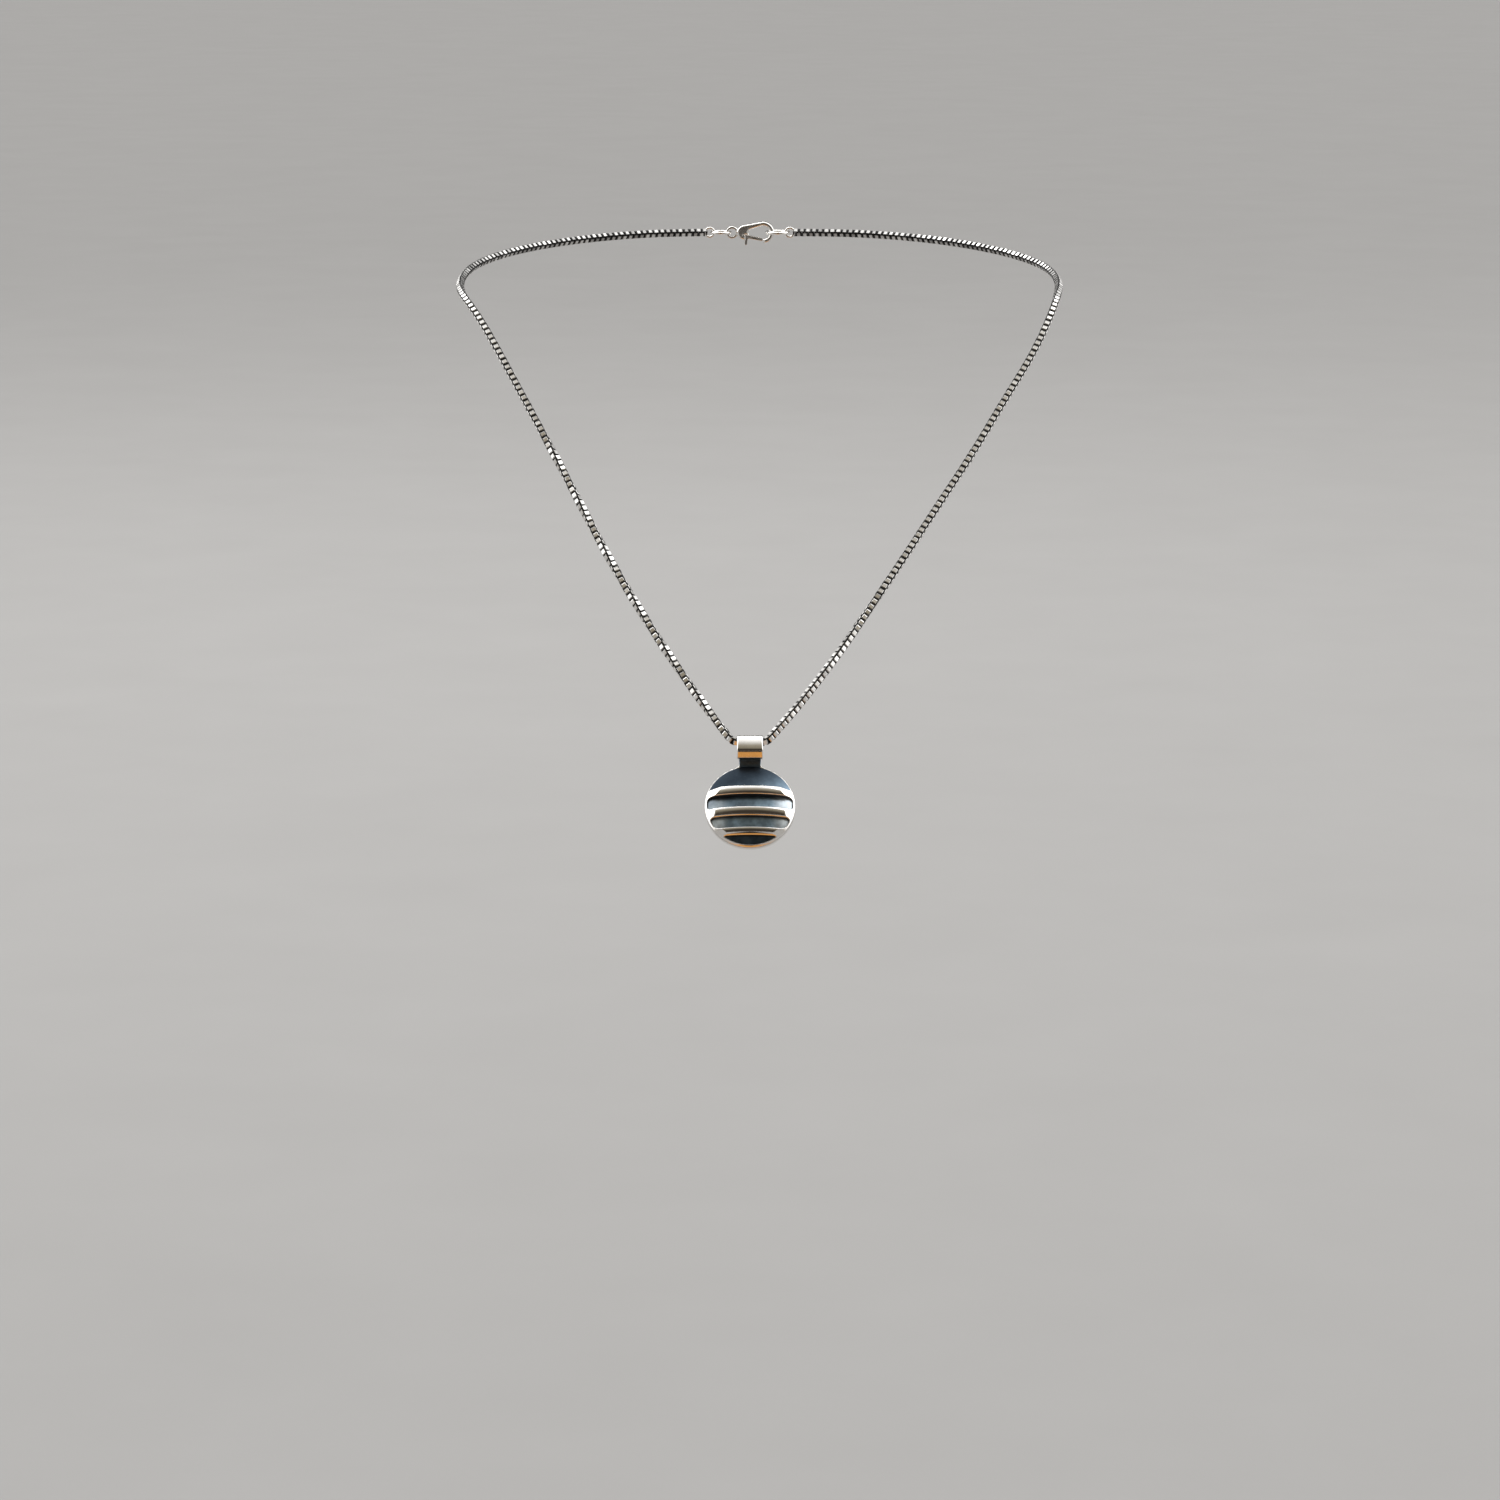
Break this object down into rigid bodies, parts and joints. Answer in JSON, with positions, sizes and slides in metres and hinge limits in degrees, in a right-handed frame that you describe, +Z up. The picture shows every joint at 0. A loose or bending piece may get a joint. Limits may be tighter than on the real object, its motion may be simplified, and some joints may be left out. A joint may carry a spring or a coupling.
{
  "type": "pendant necklace",
  "caption": "Silver pendant necklace: domed round pendant with a dark dome under a barred grille, swinging from a band bail on a fine box chain with a lobster clasp.",
  "frame": {"origin": "middle of the neck opening, straight above the pendant and level with the two points where the chain crosses the shoulders", "axes": "+X to the wearer's left, +Y to the back, +Z up; the pendant's face looks along -Y and upwards"},
  "size_m": [0.1288, 0.1428, 0.1112],
  "materials": {
    "polished_silver": "polished sterling silver with fine handling scratches and dark oxide left in the corners",
    "oxidised_silver": "oxidised silver, blue-black satin, slightly cloudy",
    "chain_silver": "oxidised box-chain links polished bright on their outer faces",
    "clasp_silver": "tumble-polished silver",
    "spring_steel": "bare spring steel"
  },
  "bodies": {
    "neck_chain": {"chain_back_left": "chain_silver", "chain_back_right": "chain_silver", "end_ring_left": "clasp_silver", "clasp_ring": "clasp_silver", "catch_ring": "clasp_silver", "end_ring_right": "clasp_silver"},
    "front_chain": {"chain_front_left": "chain_silver", "chain_front_right": "chain_silver"},
    "bail_span": {"bail_links": "chain_silver"},
    "pendant": {"back_plate": "polished_silver", "dome": "oxidised_silver", "grille": "polished_silver", "bail_tab": "oxidised_silver", "bail": "polished_silver"},
    "clasp": {"clasp_body": "clasp_silver", "clasp_pin": "clasp_silver", "clasp_spring": "spring_steel"},
    "lever": {"clasp_lever": "clasp_silver"}
  },
  "joints": [
    {"name": "front_swing", "type": "hinge", "parent": "neck_chain", "child": "front_chain", "pos_m": [0, 0, 0], "axis": [-1, 0, 0], "range_deg": [0, 60]},
    {"name": "pendant_sway", "type": "hinge", "parent": "front_chain", "child": "bail_span", "pos_m": [0, -0.078, -0.084], "axis": [0, -0.788, 0.6157], "range_deg": [-8, 8]},
    {"name": "pendant_swing", "type": "hinge", "parent": "bail_span", "child": "pendant", "pos_m": [0, -0.078, -0.084], "axis": [-1, 0, 0], "range_deg": [0, 90]},
    {"name": "clasp_roll", "type": "hinge", "parent": "neck_chain", "child": "clasp", "pos_m": [0.001, 0.049, 0.006], "axis": [1, 0, 0], "range_deg": [-15, 15]},
    {"name": "lever_open", "type": "hinge", "parent": "clasp", "child": "lever", "pos_m": [-0.0015, 0.049, 0.0054], "axis": [0, -1, 0], "range_deg": [0, 25], "stiffness_Nm_per_rad": 0.002, "springref_deg": -11.46}
  ]
}
